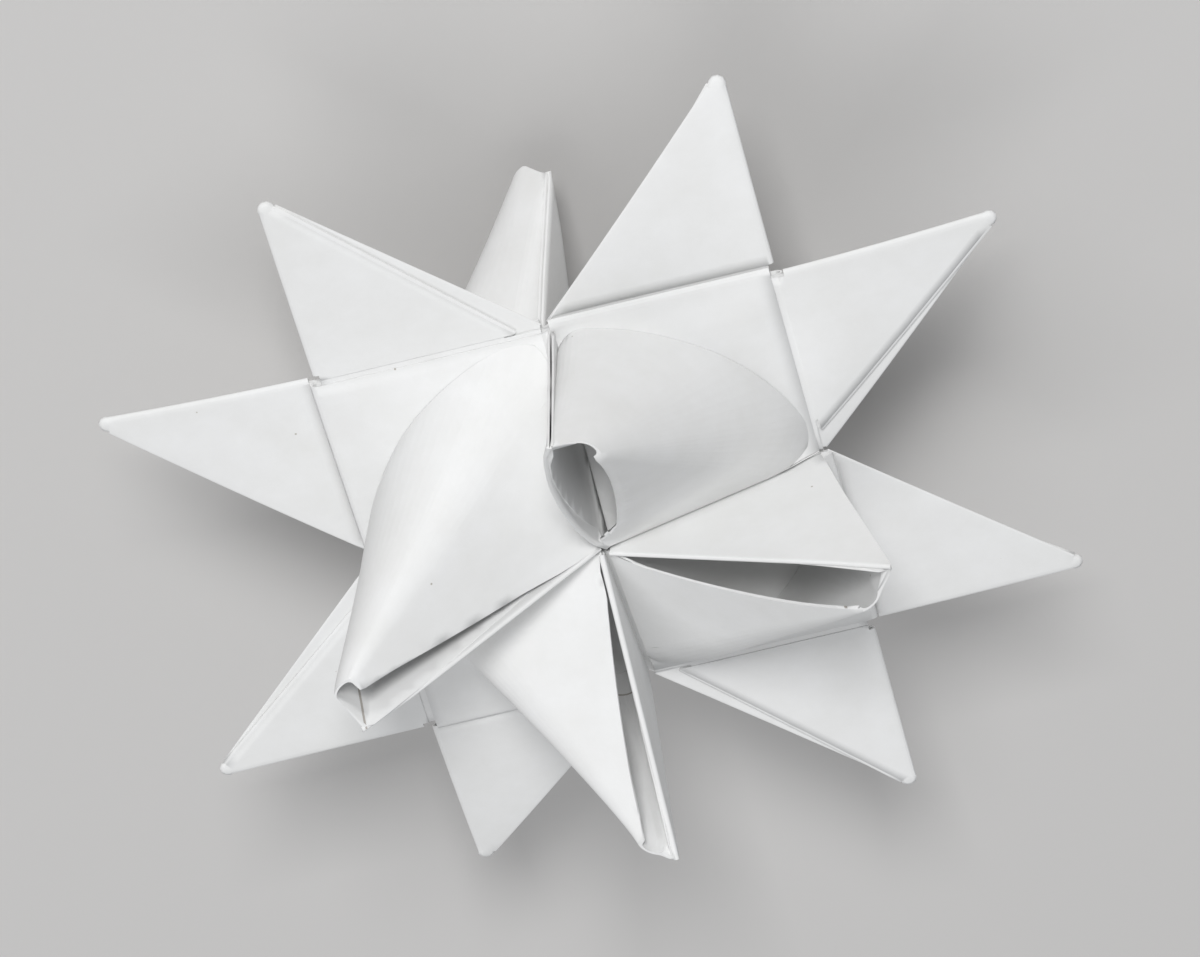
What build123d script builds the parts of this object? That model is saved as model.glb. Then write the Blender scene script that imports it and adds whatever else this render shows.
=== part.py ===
"""A Froebel star: four long paper strips woven, folded and rolled into a star.

The woven square is centred on the Z axis before it is lifted to stand on its
four back tips.  Front is +Z.  The left strip is modelled, and the other three
are the same strip turned about Z by quarter turns, with their front cones
open a little more or less.
"""
from build123d import *
import math
import os

os.makedirs("parts", exist_ok=True)

# Driving dimensions, in millimetres
strip_width = 12.7
paper = 0.12
strip_gap = 0.5
layer_pitch = 0.15
centre_rise = 3.6

# Flat points: how far the front layers stop short of the back ones, how far
# the crease stands off the square, and the blunted tip
point_band = 1.5
point_standoff = 0.15
tip_cut = 0.6
insert_slack = 0.6
nib_radius = 0.5
nib_inset = 0.12
nib_chamfer = 0.2

# Cones: the swell of the round side, the bends beside it, the blunt tip as a
# share of the foot, and the hollow's share of that tip
cone_bulge = 3.4
cone_corner_radius = 3.5
roll_radius = 1.6
tip_share = 0.12
tip_hollow_share = 0.7

# How far the lip of each cone stands off its wall, halfway along and at the tip
left_gape = (1.5, 0.9)
bottom_gape = (1.8, 0.7)
right_gape = (1.2, 1.0)
top_gape = (0.7, 0.5)
back_gape = (1.2, 0.7)
mouth_cut_depth = 0.7
mouth_cut_margin = 1

# Flat sides that stand for each fold and bend
fold_sides = 6
bend_sides = 8
round_sides = 14
nib_sides = 10

# Derived sizes
edge = strip_gap / 2
cell = strip_width + strip_gap
far = cell - edge
half_paper = paper / 2
cone_wall = 1.5 * paper
wall_overlap = 0.3 * paper
ramp_start = edge * 0.28
wall_x = -edge + 0.75 * paper
inner_wall_x = wall_x - 1.5 * layer_pitch
point_start = cell + point_standoff
point_end = point_start + strip_width
tip_y = point_end - tip_cut
side_fold_radius = 2.5 * layer_pitch
UP = Vector(0, 0, 1)
LEFT = Vector(-1, 0, 0)


def height(level):
    """Middle of a paper layer; level 1 is the front of the stack, 10 the back."""
    return (5.5 - level) * layer_pitch


def spot(x, y, level, raised=False):
    """A corner of a layer, raised where the front rises to the centre."""
    return Vector(x, y, height(level) + (centre_rise if raised else 0))


def facet(*corners, through=UP):
    """A flat piece of paper with these corners, its thickness along through."""
    first, second, third = corners[0], corners[1], corners[2]
    normal = (second - first).cross(third - first)
    flat = Plane(origin=first, x_dir=second - first, z_dir=normal)
    with BuildSketch(flat) as outline:
        Polygon(*[flat.to_local_coords(corner) for corner in corners], align=None)
    extrude(outline.sketch, amount=half_paper, dir=through, both=True)


def fold(start, end, across, outward, radius):
    """A fold back from start to end.  The first layer is at start, the axis
    lies across by radius, and the paper turns round it through outward."""
    along = end - start
    section = Plane(origin=start + across * radius, x_dir=-across, z_dir=along)
    side = 1 if section.y_dir.dot(outward) > 0 else -1
    angles = [math.radians(side * 180 * i / fold_sides) for i in range(fold_sides + 1)]
    outer = [Vector(math.cos(a), math.sin(a)) * (radius + half_paper) for a in angles]
    inner = [Vector(math.cos(a), math.sin(a)) * (radius - half_paper) for a in angles]
    with BuildSketch(section) as ring:
        Polygon(*outer, *reversed(inner), align=None)
    extrude(ring.sketch, amount=along.length, dir=along)


def cell_layer(level, side):
    """One layer of the left column in one cell: the outer half lies flat and
    the inner half rises to the centre.  side is -1 for the lower cell."""
    facet(
        spot(-far, side * edge, level),
        spot(-edge, side * far, level),
        spot(-edge, side * cell, level),
        spot(-far, side * cell, level),
    )
    facet(
        spot(-far, side * edge, level),
        spot(-edge, side * far, level),
        spot(-edge, side * edge, level, raised=True),
    )


def crossing(level_above, level_below):
    """The step at the middle line, down from the upper cell to the lower one."""
    facet(
        spot(-far, edge, level_above),
        spot(-edge, edge, level_above, raised=True),
        spot(-edge, ramp_start, level_above, raised=True),
        spot(-far, ramp_start, level_above),
    )
    facet(
        spot(-far, ramp_start, level_above),
        spot(-edge, ramp_start, level_above, raised=True),
        spot(-edge, -edge, level_below, raised=True),
        spot(-far, -edge, level_below),
    )


# The inner wall of the front cone is a right-angled triangle: side_mid lies at
# the side of the square, heart over its centre, and tip is the cone's tip.
# The lines of the cone would meet at the apex, a little beyond the tip.
lean = math.atan2(centre_rise, strip_width)
upward = Vector(0, -math.sin(lean), math.cos(lean))
base_z = height(0) - half_paper
side_mid = Vector(inner_wall_x, -far, base_z)
tip = side_mid + upward * strip_width
heart = Vector(inner_wall_x, -edge, height(0) + centre_rise)
face_x = inner_wall_x + cone_wall - wall_overlap
apex = Vector(face_x, side_mid.Y, base_z) + upward * (strip_width / (1 - tip_share))


def toward_apex(point, z):
    """Where the line from a point to the apex crosses the height z."""
    share = (apex.Z - z) / (apex.Z - point.Z)
    return apex + (point - apex) * share


# Level section of the closed cone at its foot: a straight side from the heart
# to the corner of the exit, a round side, the roll, and the wall
lip_start = Vector(face_x, heart.Y, heart.Z + half_paper)
exit_corner = Vector(-far, -edge, height(0) + half_paper)
low_lip = toward_apex(lip_start, base_z)
low_corner = toward_apex(exit_corner, base_z)
foot = Vector(face_x, -far, base_z)
across_round = (foot - low_corner).normalized()
out_of_round = Vector(across_round.Y, -across_round.X, 0)
with BuildSketch(Plane.XY.offset(base_z)) as smooth_section:
    with BuildLine():
        Line(low_lip, low_corner)
        ThreePointArc(low_corner, (low_corner + foot) / 2 + out_of_round * cone_bulge, foot)
        Line(foot, low_lip)
    make_face()
    fillet(smooth_section.vertices().sort_by(Axis.X)[0], cone_corner_radius)
    fillet(smooth_section.vertices().sort_by(Axis.Y)[0], roll_radius)

# The same section with flat sides, so that every line of the cone is straight
corners = []
for segment in smooth_section.sketch.face().outer_wire().order_edges():
    sides = 1
    if segment.geom_type == GeomType.CIRCLE:
        sides = round_sides if segment.radius > cone_corner_radius else bend_sides
    corners += [segment.position_at(i / sides) for i in range(sides)]
with BuildSketch(Plane.XY.offset(base_z)) as foot_hollow:
    Polygon(*[(corner.X, corner.Y) for corner in corners], align=None)
    offset(amount=-cone_wall, kind=Kind.INTERSECTION, mode=Mode.REPLACE)
hollow_edges = foot_hollow.sketch.face().outer_wire().order_edges()
hollow_corners = [segment.position_at(0) for segment in hollow_edges]


def flat_sided(foot_corners, tip_scale=1):
    """A solid with flat sides from a foot section to the same section drawn in
    to the cone's tip, there shrunk about its middle by tip_scale."""
    drawn_in = [toward_apex(corner, tip.Z) for corner in foot_corners]
    middle = sum(drawn_in, Vector()) / len(drawn_in)
    tip_corners = [middle + (corner - middle) * tip_scale for corner in drawn_in]
    outlines = [foot_corners, tip_corners]
    for i in range(len(foot_corners)):
        outlines.append([foot_corners[i - 1], foot_corners[i], tip_corners[i], tip_corners[i - 1]])
    return Solid(Shell([Face(Wire.make_polygon(outline)) for outline in outlines]))


# The underside of the raised half of the square, which the cone stands on
first_corner = spot(-far, -edge, 0) - UP * half_paper
second_corner = spot(-edge, -far, 0) - UP * half_paper
top_corner = spot(-edge, -edge, 0, raised=True) - UP * half_paper
raised_half = Plane(
    origin=first_corner,
    x_dir=second_corner - first_corner,
    z_dir=(second_corner - first_corner).cross(top_corner - first_corner),
)
exit_side = Plane(origin=(0, -edge + half_paper, 0), z_dir=(0, -1, 0))
wall_side = Plane(origin=(face_x - cone_wall, 0, 0), z_dir=LEFT)

with BuildPart() as closed_cone:
    add(flat_sided(corners))
    add(flat_sided(hollow_corners, tip_hollow_share), mode=Mode.SUBTRACT)
    split(bisect_by=exit_side, keep=Keep.TOP)
    split(bisect_by=wall_side, keep=Keep.TOP)
    split(bisect_by=raised_half, keep=Keep.TOP)

# The flat side of the cone next to its wall, with x along the lip
top_side = Plane(
    origin=lip_start,
    x_dir=apex - lip_start,
    z_dir=(apex - lip_start).cross(exit_corner - lip_start),
)
lip_length = (tip - heart).length
off_wall = math.copysign(1, top_side.to_local_coords(exit_corner).Y)


def open_cone(gape):
    """The cone with its mouth open: the lip bows away from the wall."""
    half_way_gape, tip_gape = gape
    lip_end = lip_length + paper
    with BuildPart() as opened:
        add(closed_cone.part)
        with BuildSketch(top_side):
            with BuildLine():
                ThreePointArc(
                    (-paper, off_wall * paper),
                    (lip_length / 2, off_wall * half_way_gape),
                    (lip_end, off_wall * tip_gape),
                )
                Polyline(
                    (lip_end, off_wall * tip_gape),
                    (lip_length + mouth_cut_margin, -off_wall * mouth_cut_margin),
                    (-paper, -off_wall * mouth_cut_margin),
                    (-paper, off_wall * paper),
                )
            make_face()
        extrude(amount=mouth_cut_depth, both=True, mode=Mode.SUBTRACT)
    return opened.part


# The outermost bit of a flat point, where its layers are pressed together
with BuildPart() as nib:
    with BuildSketch(Plane.XY.offset(height(5) - half_paper)):
        with Locations((-far + nib_inset, tip_y)):
            RegularPolygon(nib_radius, nib_sides)
    extrude(amount=height(1) - height(5) + paper)
    chamfer(nib.edges().filter_by(Axis.Z, reverse=True), nib_chamfer)

with BuildPart() as half_strip:
    # Lower inner layer, up to the middle of the strip
    facet(spot(-far, -edge, 6), spot(-edge, -edge, 6), spot(-edge, -cell, 6), spot(-far, -cell, 6))
    facet(spot(-far, -edge, 6), spot(-edge, -edge, 6), Vector(-edge, 0, 0), Vector(-far, 0, 0))

    # Fold at the lower side, front square and its step under the upper one
    fold(
        spot(-far, -cell, 1), spot(-edge, -cell, 1),
        across=-UP, outward=Vector(0, -1, 0), radius=side_fold_radius,
    )
    cell_layer(1, -1)
    crossing(4, 1)
    cell_layer(4, 1)

    # Flat point at the upper side: four layers, three folds
    behind_y = cell + side_fold_radius + paper
    slope = (strip_width - point_band) / strip_width
    facet(
        spot(-far, cell, 4), spot(-edge, cell, 4), spot(-edge, point_start, 4),
        spot(-far + tip_cut, tip_y, 4), spot(-far, tip_y, 4),
    )
    facet(
        spot(-far, behind_y, 5), spot(-edge - (behind_y - point_start), behind_y, 5),
        spot(-far + tip_cut, tip_y, 5), spot(-far, tip_y, 5),
    )
    for level, base_y in ((1, point_start), (3, cell)):
        facet(
            spot(-far, base_y, level),
            spot(-edge - point_band, base_y, level),
            spot(-edge - point_band, point_start + half_paper, level),
            spot(-far + slope * tip_cut, tip_y, level),
            spot(-far, tip_y, level),
        )
    back_crease = spot(-far + tip_cut, tip_y, 4) - spot(-edge, point_start, 4)
    front_crease = spot(-far + slope * tip_cut, tip_y, 1) - spot(-edge - point_band, point_start, 1)
    fold(
        spot(-edge, point_start, 4), spot(-far + tip_cut, tip_y, 4),
        across=-UP, outward=Vector(back_crease.Y, -back_crease.X, 0), radius=layer_pitch / 2,
    )
    fold(
        spot(-edge - point_band, point_start, 1), spot(-far + slope * tip_cut, tip_y, 1),
        across=-UP, outward=Vector(front_crease.Y, -front_crease.X, 0), radius=layer_pitch,
    )
    fold(
        spot(-far, behind_y, 1), spot(-far, tip_y, 1),
        across=-UP, outward=LEFT, radius=2 * layer_pitch,
    )
    add(nib.part)

    # The strip comes back under the upper front square and out at the middle
    cell_layer(3, 1)
    crossing(3, 0)

    # Inner wall of the cone, the flat wall in front of it, and the slanting
    # fold that joins the two
    facet(side_mid, heart, tip, through=LEFT)
    front_foot = Vector(wall_x, -far, height(2))
    front_heart = Vector(wall_x, -edge, height(2) + centre_rise)
    front_tip = Vector(wall_x, tip.Y, tip.Z)
    wall_edge = Vector(wall_x, heart.Y, heart.Z)
    facet(front_foot, front_heart, wall_edge, front_tip, through=LEFT)
    lip = tip - heart
    fold(
        wall_edge, front_tip,
        across=LEFT, outward=Vector(0, lip.Z, -lip.Y), radius=0.75 * layer_pitch,
    )

    # The end goes in under the lower front square and into the next flat point
    facet(
        spot(-edge, -far, 2), spot(-edge, -edge, 2, raised=True),
        spot(wall_x + half_paper, -edge, 2, raised=True), spot(wall_x + half_paper, -far, 2),
    )
    facet(spot(-far, -edge, 2), spot(-edge, -far, 2), spot(-edge, -edge, 2, raised=True))
    facet(spot(-far, -edge, 2), spot(-edge, -far, 2), spot(-cell, -far, 2), spot(-cell, -edge, 2))
    facet(
        spot(-cell, -far, 2),
        spot(-cell, -edge - point_band - insert_slack, 2),
        spot(-point_start, -edge - point_band - insert_slack, 2),
        spot(-point_end + 3 * insert_slack, -far + insert_slack, 2),
        spot(-point_end + 3 * insert_slack, -far, 2),
    )

rest_height = half_strip.part.bounding_box().max.Z


def woven_strip(front_gape, turn):
    """The left strip, standing, turned about Z; its back repeats its front."""
    with BuildPart() as whole:
        add(half_strip.part)
        add(open_cone(front_gape))
        add(half_strip.part.rotate(Axis.X, 180))
        add(open_cone(back_gape).rotate(Axis.X, 180))
    return whole.part.moved(Location((0, 0, rest_height))).rotate(Axis.Z, turn)


with BuildPart() as strip_left:
    add(woven_strip(left_gape, 0))
with BuildPart() as strip_bottom:
    add(woven_strip(bottom_gape, 90))
with BuildPart() as strip_right:
    add(woven_strip(right_gape, 180))
with BuildPart() as strip_top:
    add(woven_strip(top_gape, 270))

strip_left.part.label = "strip_left"
strip_bottom.part.label = "strip_bottom"
strip_right.part.label = "strip_right"
strip_top.part.label = "strip_top"

export_step(strip_left.part, "parts/strip_left.step")
export_step(strip_bottom.part, "parts/strip_bottom.step")
export_step(strip_right.part, "parts/strip_right.step")
export_step(strip_top.part, "parts/strip_top.step")
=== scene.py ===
"""Looks of the woven paper star: matt white paper on a plain pale floor."""
import math

import bmesh
import bpy
from mathutils import Matrix, Vector


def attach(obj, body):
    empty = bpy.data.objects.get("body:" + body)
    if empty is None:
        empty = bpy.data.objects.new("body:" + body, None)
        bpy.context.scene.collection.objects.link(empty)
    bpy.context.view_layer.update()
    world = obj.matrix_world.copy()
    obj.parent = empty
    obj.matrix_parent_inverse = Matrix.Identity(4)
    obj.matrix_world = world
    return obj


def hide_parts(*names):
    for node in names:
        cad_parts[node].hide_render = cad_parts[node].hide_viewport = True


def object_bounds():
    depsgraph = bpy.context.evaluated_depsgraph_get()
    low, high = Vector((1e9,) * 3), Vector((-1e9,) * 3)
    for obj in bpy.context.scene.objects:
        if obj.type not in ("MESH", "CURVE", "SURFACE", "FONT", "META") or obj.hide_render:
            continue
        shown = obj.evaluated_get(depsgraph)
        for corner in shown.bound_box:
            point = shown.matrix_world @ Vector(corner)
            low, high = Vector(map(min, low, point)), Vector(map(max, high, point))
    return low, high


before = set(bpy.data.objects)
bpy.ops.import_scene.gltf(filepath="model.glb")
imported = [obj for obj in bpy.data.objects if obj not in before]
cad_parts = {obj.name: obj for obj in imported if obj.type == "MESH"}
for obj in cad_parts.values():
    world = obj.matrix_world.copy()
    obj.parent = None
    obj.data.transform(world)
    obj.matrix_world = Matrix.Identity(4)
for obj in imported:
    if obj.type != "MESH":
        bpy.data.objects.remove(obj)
cad_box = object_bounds()

# Sizes in metres
mm = 0.001
floor_size = 3.0

# The regular star, as the solids have it
star_middle = (cad_box[0][2] + cad_box[1][2]) / 2
strip_width = 12.7 * mm
strip_gap = 0.5 * mm
square_half = strip_width + strip_gap
front_level = 0.9 * mm
centre_rise = 3.6 * mm
flat_half_height = 1.2 * mm
cone_height = 12.2 * mm
tip_reach = 16.4 * mm
wall_face = 0.5 * mm

# How far off its wall a cone's sheet starts to move with its fold, at the lip
# and at the roll, and how much narrower the cone is at its tip
lip_reach = 0.35 * mm
roll_reach = 3.0 * mm
cone_taper = 0.88
least_width = 0.2 * mm

# The layers at the sides of the star, pressed together by the folder's nail
press_share = 0.5
press_start = 10.5 * mm
press_width = 3.0 * mm
press_fade = 4.0 * mm

# The finer mesh of the hand-made copies
weld_distance = 0.001 * mm
longest_edge = 1.2 * mm
halvings = 5
crease_angle = math.radians(35)

# The width of the painted shadow line at the step of a glued join, and how squarely the paper
# has to face +Y for it to show
lap_shadow_width = 0.10 * mm
lap_shadow_facing = 0.15

# The photograph's view: where the camera stands, what it looks at, its roll and its lens
camera_place = Vector((0.0330, 0.2437, 0.3152))
camera_right = Vector((0.9700, -0.2297, 0.0796))
camera_forward = Vector((-0.0838, -0.6232, -0.7776))
focal_pixels = 6817
image_width = 1200
sensor_width = 36.0


def new_material(name):
    """An empty node material, with its shader and output joined."""
    material = bpy.data.materials.new(name)
    material.use_nodes = True
    nodes = material.node_tree.nodes
    nodes.clear()
    shader = nodes.new("ShaderNodeBsdfPrincipled")
    output = nodes.new("ShaderNodeOutputMaterial")
    material.node_tree.links.new(shader.outputs["BSDF"], output.inputs["Surface"])
    return material, shader


def noise(tree, scale, detail, roughness):
    """A noise pattern in the object's own coordinates."""
    coordinates = tree.nodes.new("ShaderNodeTexCoord")
    pattern = tree.nodes.new("ShaderNodeTexNoise")
    pattern.inputs["Scale"].default_value = scale
    pattern.inputs["Detail"].default_value = detail
    pattern.inputs["Roughness"].default_value = roughness
    tree.links.new(coordinates.outputs["Object"], pattern.inputs["Vector"])
    return pattern.outputs["Fac"]


def ramp(tree, factor, stops):
    """A colour ramp; stops are (position, colour)."""
    node = tree.nodes.new("ShaderNodeValToRGB")
    while len(node.color_ramp.elements) < len(stops):
        node.color_ramp.elements.new(0.5)
    for element, (position, colour) in zip(node.color_ramp.elements, stops):
        element.position = position
        element.color = (*colour, 1)
    tree.links.new(factor, node.inputs["Fac"])
    return node.outputs["Color"]


def specks(tree, scale, radius):
    """A factor that is 0 in a few tiny round specks and 1 elsewhere."""
    coordinates = tree.nodes.new("ShaderNodeTexCoord")
    cells = tree.nodes.new("ShaderNodeTexVoronoi")
    cells.inputs["Scale"].default_value = scale
    tree.links.new(coordinates.outputs["Object"], cells.inputs["Vector"])
    edge = tree.nodes.new("ShaderNodeMapRange")
    edge.inputs["From Min"].default_value = radius
    edge.inputs["From Max"].default_value = 2 * radius
    tree.links.new(cells.outputs["Distance"], edge.inputs["Value"])
    return edge.outputs["Result"]


def mixed(tree, factor):
    """A mix of two colours by a factor; the colours are its inputs A and B."""
    mix = tree.nodes.new("ShaderNodeMix")
    mix.data_type = "RGBA"
    tree.links.new(factor, mix.inputs["Factor"])
    return mix


def y_value(tree, vector):
    split = tree.nodes.new("ShaderNodeSeparateXYZ")
    tree.links.new(vector, split.inputs[0])
    return split.outputs["Y"]


def maths(tree, operation, first, second):
    """A maths node; each value is a number or another node's output."""
    node = tree.nodes.new("ShaderNodeMath")
    node.operation = operation
    for socket, value in zip(node.inputs, (first, second)):
        if isinstance(value, (int, float)):
            socket.default_value = value
        else:
            tree.links.new(value, socket)
    return node.outputs[0]


def painted_lap_shadow(tree, across, place, highest_y):
    """A factor that is 1 on a thin line of painted shadow, where the step of a
    glued-on length that ends inside a cone would cast shade.  across is the
    direction over the line and place where it lies along that direction.  It
    shows only on paper that faces +Y, below highest_y."""
    position = tree.nodes.new("ShaderNodeTexCoord").outputs["Object"]
    normal = tree.nodes.new("ShaderNodeNewGeometry").outputs["True Normal"]
    along = tree.nodes.new("ShaderNodeVectorMath")
    along.operation = "DOT_PRODUCT"
    tree.links.new(position, along.inputs[0])
    along.inputs[1].default_value = Vector(across).normalized()
    over = maths(tree, "SUBTRACT", along.outputs["Value"], place)
    near = maths(tree, "LESS_THAN", maths(tree, "ABSOLUTE", over, 0), lap_shadow_width / 2)
    below = maths(tree, "LESS_THAN", y_value(tree, position), highest_y)
    faces = maths(tree, "GREATER_THAN", y_value(tree, normal), lap_shadow_facing)
    return maths(tree, "MULTIPLY", near, maths(tree, "MULTIPLY", below, faces))


def paper_material(name, join_shadow=None):
    """Matt white writing paper: faint mottling, a few specks, a fine tooth and
    the slight waves of handled paper."""
    material, shader = new_material(name)
    tree = material.node_tree
    mottle = noise(tree, 260, detail=6.0, roughness=0.65)
    white = ramp(tree, mottle, (
        (0.30, (0.800, 0.800, 0.790)),
        (0.70, (0.850, 0.852, 0.850)),
    ))
    speckled = mixed(tree, specks(tree, 340, 0.014))
    speckled.inputs["A"].default_value = (0.48, 0.45, 0.40, 1)
    tree.links.new(white, speckled.inputs["B"])
    colour = speckled.outputs["Result"]
    # Painted shadow: a dark line where the step of a glued join would cast shade inside a cone
    if join_shadow:
        shaded = mixed(tree, painted_lap_shadow(tree, *join_shadow))
        tree.links.new(colour, shaded.inputs["A"])
        shaded.inputs["B"].default_value = (0.46, 0.43, 0.40, 1)
        colour = shaded.outputs["Result"]
    tree.links.new(colour, shader.inputs["Base Color"])
    shader.inputs["Roughness"].default_value = 0.82
    shader.inputs["Specular IOR Level"].default_value = 0.25

    # Bumps: pattern, strength and height
    tooth = (noise(tree, 3800, detail=5.0, roughness=0.7), 0.12, 0.02 * mm)
    waves = (noise(tree, 120, detail=2.0, roughness=0.4), 0.35, 0.25 * mm)
    normal = None
    for height, strength, distance in (tooth, waves):
        bump = tree.nodes.new("ShaderNodeBump")
        bump.inputs["Strength"].default_value = strength
        bump.inputs["Distance"].default_value = distance
        tree.links.new(height, bump.inputs["Height"])
        if normal:
            tree.links.new(normal, bump.inputs["Normal"])
        normal = bump.outputs["Normal"]
    tree.links.new(normal, shader.inputs["Normal"])
    return material


def floor_material():
    """Plain pale grey, matt."""
    material, shader = new_material("floor")
    shader.inputs["Base Color"].default_value = (0.62, 0.61, 0.60, 1)
    shader.inputs["Roughness"].default_value = 0.9
    shader.inputs["Specular IOR Level"].default_value = 0.1
    return material


def between(value, low, high):
    """The value, kept between two limits."""
    return min(max(value, low), high)


def smooth_step(value):
    """0 below 0, 1 above 1, and a smooth rise between them."""
    value = between(value, 0.0, 1.0)
    return value * value * (3 - 2 * value)


def above_square(point):
    """Height of a point over the front of the woven square, which rises to its
    centre.  Only the front cones are above it."""
    to_centre = 1 - (abs(point.x) + abs(point.y) - strip_gap) / strip_width
    return point.z - star_middle - front_level - centre_rise * max(to_centre, 0)


def cone_shift(point, wall, fold):
    """How far a point of a front cone lies from its place in a regular star.
    The cone's wall leans and has a bow of its own; its sheet, from the lip
    round to the roll, leans, opens and bows out."""
    over = above_square(point)
    if over <= 0:
        return Vector()
    share = min(over / cone_height, 1.0)
    middle_share = 2 * math.sqrt(share * (1 - share))

    # 0 at the cone's lip and 1 at its roll, both of which reach out to the tip
    out = Vector((-wall.y, wall.x, 0)).dot(point)
    over_heart = point.z - star_middle - front_level - centre_rise
    lip_out = tip_reach * max(over_heart / (cone_height - centre_rise), 0)
    roll_out = square_half + (tip_reach - square_half) * share
    from_lip = between((out - lip_out) / max(roll_out - lip_out, least_width), 0.0, 1.0)

    # 0 on the wall and 1 on the sheet
    reach = (lip_reach + (roll_reach - lip_reach) * from_lip) * (1 - cone_taper * share)
    sheet = smooth_step((point.dot(wall) - wall_face) / reach)

    shift = Vector(fold["lean"]) * share
    shift += Vector(fold["opening"]) * sheet * share * share
    shift += Vector(fold["bow"]) * sheet * middle_share
    shift += Vector(fold["wall_bow"]) * (1 - sheet) * (1 - from_lip) * middle_share
    return shift * mm


def pressed(point):
    """The point where the layers at the star's sides are pressed together."""
    off_middle = point.z - star_middle
    to_side = max(abs(point.x), abs(point.y))
    thinner = press_share * smooth_step((to_side - press_start) / press_width)
    thinner *= 1 - smooth_step((abs(off_middle) - front_level) / press_fade)
    return point - Vector((0, 0, between(off_middle, -front_level, front_level) * thinner))


def point_bend(point):
    """How far the flat point that a point lies in bends there."""
    axis = 0 if abs(point.x) > abs(point.y) else 1
    out = (abs(point[axis]) - square_half) / strip_width
    if out <= 0 or abs(point.z - star_middle) > flat_half_height:
        return Vector()
    place = [math.copysign(1, point.x), math.copysign(1, point.y)]
    place[axis] *= 2
    return Vector((0, 0, point_bends[tuple(place)] * mm * out ** 1.5))


def turned_over(vector):
    """A direction after half a turn about X."""
    return Vector((vector.x, -vector.y, -vector.z))


def hand_folded(point, cone):
    """Where a point of the regular star lies in this hand-made one."""
    moved = pressed(point) + cone_shift(point, cone["wall"], cone["front"]) + point_bend(point)
    if "back" in cone:
        level = Vector((0, 0, star_middle))
        behind = turned_over(point - level) + level
        moved += turned_over(cone_shift(behind, cone["wall"], cone["back"]))
    return moved


def hand_made_copy(node, cone):
    """The node's paper with finer faces, folded less regularly."""
    mesh = bmesh.new()
    mesh.from_mesh(node.data)
    bmesh.ops.remove_doubles(mesh, verts=mesh.verts, dist=weld_distance)
    for _ in range(halvings):
        long_edges = [edge for edge in mesh.edges if edge.calc_length() > longest_edge]
        bmesh.ops.subdivide_edges(mesh, edges=long_edges, cuts=1)
        bmesh.ops.triangulate(mesh, faces=mesh.faces)
    data = bpy.data.meshes.new(node.name + "_paper")
    mesh.to_mesh(data)
    mesh.free()
    data.polygons.foreach_set("use_smooth", [True] * len(data.polygons))
    data.set_sharp_from_angle(angle=crease_angle)
    for vertex in data.vertices:
        vertex.co = hand_folded(vertex.co.copy(), cone)
    piece = bpy.data.objects.new(node.name + "_paper", data)
    bpy.context.collection.objects.link(piece)
    weights = piece.modifiers.new("flat_sides_stay_flat", "WEIGHTED_NORMAL")
    weights.keep_sharp = True
    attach(piece, "root")
    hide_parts(node.name)
    return piece


def cone_fold(lean, opening=(0, 0, 0), bow=(0, 0, 0), wall_bow=(0, 0, 0)):
    """How a cone was folded by hand, in millimetres: how its tip leans, how far
    its lip opens, and how its sheet and its wall bow out halfway along."""
    return {"lean": lean, "opening": opening, "bow": bow, "wall_bow": wall_bow}


# Each strip's cones, with the side of the wall that the sheet lies on.  Only
# one back cone is seen in the photograph.
cones = {
    "strip_top": {
        "wall": Vector((0, 1, 0)),
        "front": cone_fold(lean=(1.3, -1.9, 0), opening=(-0.9, 2.4, 0), bow=(-0.6, 0, 0)),
    },
    "strip_left": {
        "wall": Vector((-1, 0, 0)),
        "front": cone_fold(lean=(-0.1, 0, 0), opening=(-0.5, 0.5, 0), bow=(0.5, 0, 0)),
        "back": cone_fold(lean=(2.0, 0, -3.3), opening=(-0.9, 0, 1.3)),
    },
    "strip_bottom": {
        "wall": Vector((0, -1, 0)),
        "front": cone_fold(lean=(-0.5, 1.5, 0), opening=(-0.9, -1.2, 0), bow=(0, -0.5, 0)),
    },
    "strip_right": {
        "wall": Vector((1, 0, 0)),
        "front": cone_fold(
            lean=(-0.5, -1.4, 0), opening=(1.0, 0, 0), bow=(0.5, 0, 0), wall_bow=(-1.2, 0, 0),
        ),
    },
}

# How far the tip of each flat point bends to the front, in millimetres; the
# keys say where it is, in strips from the middle
point_bends = {
    (1, 2): -1.5, (2, 1): -0.9, (2, -1): -0.3, (1, -2): 0.3,
    (-1, -2): -1.5, (-2, -1): 0.2, (-2, 1): -0.8, (-1, 2): -0.2,
}
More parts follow.
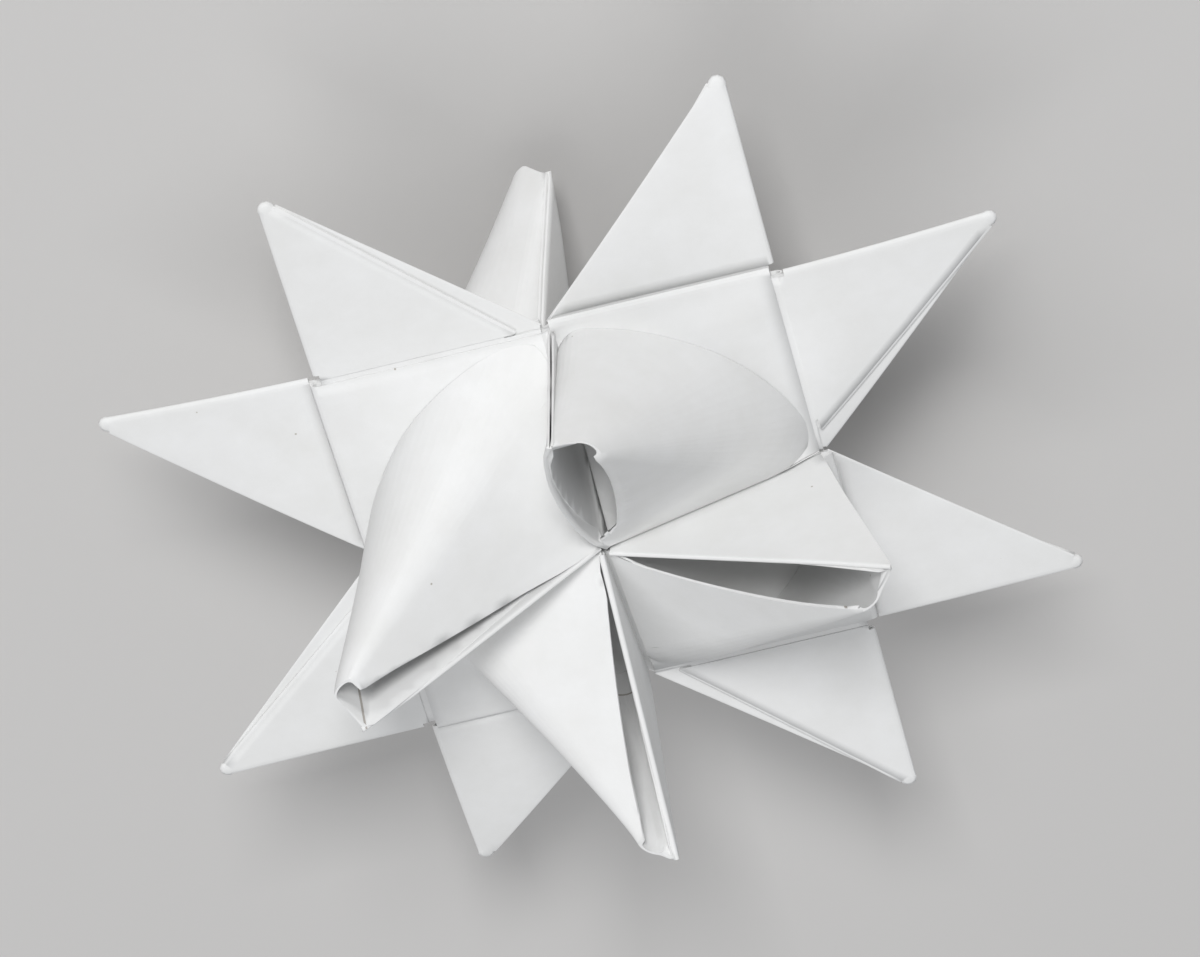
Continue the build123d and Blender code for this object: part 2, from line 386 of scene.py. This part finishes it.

# Painted shadow lines at the steps of glued joins inside three of the front cones, as
# painted_lap_shadow takes them
lap_shadow_places = {
    "strip_bottom": ((0.8, -0.6, 0), 11.05 * mm, -0.6 * mm),
    "strip_left": ((0, 0, 1), 15.06 * mm, -11.5 * mm),
    "strip_top": ((1, 0, 0), -14.85 * mm, 0.3 * mm),
}

for name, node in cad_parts.items():
    piece = hand_made_copy(node, cones[name])
    piece.data.materials.append(paper_material("paper_" + name, lap_shadow_places.get(name)))

# Floor
bpy.ops.mesh.primitive_plane_add(size=floor_size, location=(0, 0, 0))
floor = bpy.context.object
floor.name = "floor"
floor.data.materials.append(floor_material())


def area_light(name, place, size, watts):
    """A square soft light that faces the middle of the star."""
    data = bpy.data.lights.new(name, "AREA")
    data.shape = "SQUARE"
    data.size = size
    data.energy = watts
    lamp = bpy.data.objects.new(name, data)
    bpy.context.collection.objects.link(lamp)
    lamp.location = place
    towards = Vector((0, 0, star_middle)) - Vector(place)
    lamp.rotation_euler = towards.to_track_quat("-Z", "Y").to_euler()


area_light("key", (0.05, 0.69, 0.58), 0.22, 4.9)
area_light("fill", (-0.30, -0.20, 0.75), 0.60, 1.7)

world = bpy.data.worlds.new("world")
bpy.context.scene.world = world
world.use_nodes = True
world.node_tree.nodes["Background"].inputs["Color"].default_value = (0.95, 0.97, 1.0, 1)
world.node_tree.nodes["Background"].inputs["Strength"].default_value = 0.34

# Camera
camera_data = bpy.data.cameras.new("camera")
camera_data.sensor_fit = "HORIZONTAL"
camera_data.sensor_width = sensor_width
camera_data.lens = focal_pixels * sensor_width / image_width
camera_data.clip_start = 0.01
camera = bpy.data.objects.new("camera", camera_data)
bpy.context.collection.objects.link(camera)
back = -camera_forward.normalized()
right = (camera_right - back * camera_right.dot(back)).normalized()
up = back.cross(right)
camera.matrix_world = Matrix((
    (right.x, up.x, back.x, camera_place.x),
    (right.y, up.y, back.y, camera_place.y),
    (right.z, up.z, back.z, camera_place.z),
    (0, 0, 0, 1),
))
bpy.context.scene.camera = camera
bpy.context.scene.view_settings.view_transform = "Standard"
